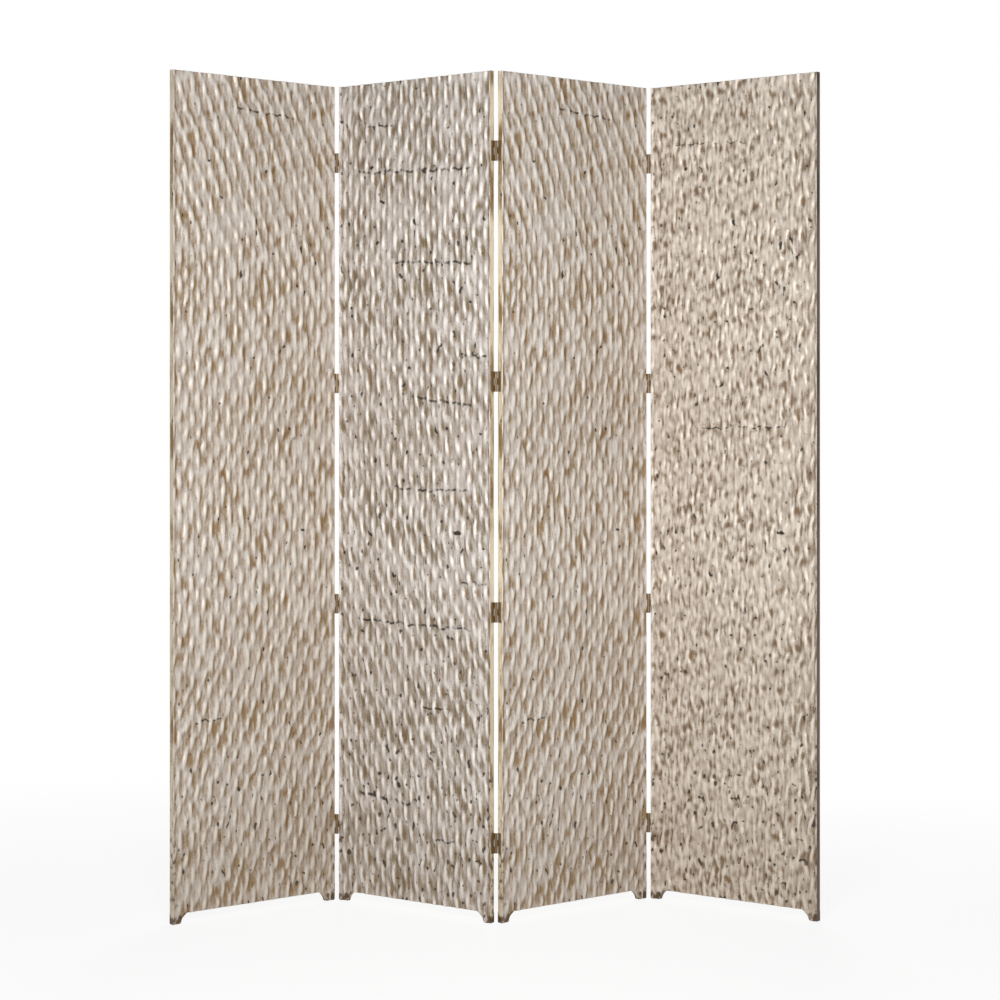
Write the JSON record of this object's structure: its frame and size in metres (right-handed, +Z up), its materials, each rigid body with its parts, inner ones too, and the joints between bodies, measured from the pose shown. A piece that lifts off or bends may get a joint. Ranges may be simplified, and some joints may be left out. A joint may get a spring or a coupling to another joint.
{
  "type": "folding screen",
  "caption": "Tall carved and silver-leafed wooden panels, hinged edge to edge, that stand in a zig-zag on short feet to divide a room, and fold shut.",
  "frame": {"origin": "on the floor, under the middle of the screen as it stands half folded", "axes": "+Z up, +X to the right seen from the carved front, +Y towards the back"},
  "size_m": [1.6302, 0.3404, 2.134],
  "materials": {
    "carved_leafing": "carved wood under worn silver and champagne leaf, brown and black in the hollows",
    "back_leafing": "plain board under the same leaf, worn",
    "frame_wood": "softwood, its outer edges and feet leafed in pale gold",
    "hinge_bronze": "dark antique bronze, satin",
    "pin_steel": "darkened steel"
  },
  "bodies": {
    "panel_1": {"panel_1_carved_front": "carved_leafing", "panel_1_back_board": "back_leafing", "panel_1_stile_left": "frame_wood", "panel_1_stile_right": "frame_wood", "panel_1_bottom_rail": "frame_wood", "panel_1_lower_rail": "frame_wood", "panel_1_upper_rail": "frame_wood", "panel_1_top_rail": "frame_wood", "hinge_12_leaves_left": "hinge_bronze", "hinge_12_pins": "pin_steel"},
    "panel_2": {"panel_2_carved_front": "carved_leafing", "panel_2_back_board": "back_leafing", "panel_2_stile_left": "frame_wood", "panel_2_stile_right": "frame_wood", "panel_2_bottom_rail": "frame_wood", "panel_2_lower_rail": "frame_wood", "panel_2_upper_rail": "frame_wood", "panel_2_top_rail": "frame_wood", "hinge_12_leaves_right": "hinge_bronze", "hinge_23_leaves_left": "hinge_bronze", "hinge_23_pins": "pin_steel"},
    "panel_3": {"panel_3_carved_front": "carved_leafing", "panel_3_back_board": "back_leafing", "panel_3_stile_left": "frame_wood", "panel_3_stile_right": "frame_wood", "panel_3_bottom_rail": "frame_wood", "panel_3_lower_rail": "frame_wood", "panel_3_upper_rail": "frame_wood", "panel_3_top_rail": "frame_wood", "hinge_23_leaves_right": "hinge_bronze", "hinge_34_leaves_left": "hinge_bronze", "hinge_34_pins": "pin_steel"},
    "panel_4": {"panel_4_carved_front": "carved_leafing", "panel_4_back_board": "back_leafing", "panel_4_stile_left": "frame_wood", "panel_4_stile_right": "frame_wood", "panel_4_bottom_rail": "frame_wood", "panel_4_lower_rail": "frame_wood", "panel_4_upper_rail": "frame_wood", "panel_4_top_rail": "frame_wood", "hinge_34_leaves_right": "hinge_bronze"}
  },
  "joints": [
    {"name": "fold_12", "type": "hinge", "parent": "panel_2", "child": "panel_1", "pos_m": [-0.4098, 0.15757, 0], "axis": [0, 0, 1], "range_deg": [-80, 100]},
    {"name": "fold_23", "type": "hinge", "parent": "panel_2", "child": "panel_3", "pos_m": [0, -0.15757, 0], "axis": [0, 0, 1], "range_deg": [-80, 100]},
    {"name": "fold_34", "type": "hinge", "parent": "panel_3", "child": "panel_4", "pos_m": [0.4098, 0.15757, 0], "axis": [0, 0, -1], "range_deg": [-80, 100]}
  ]
}
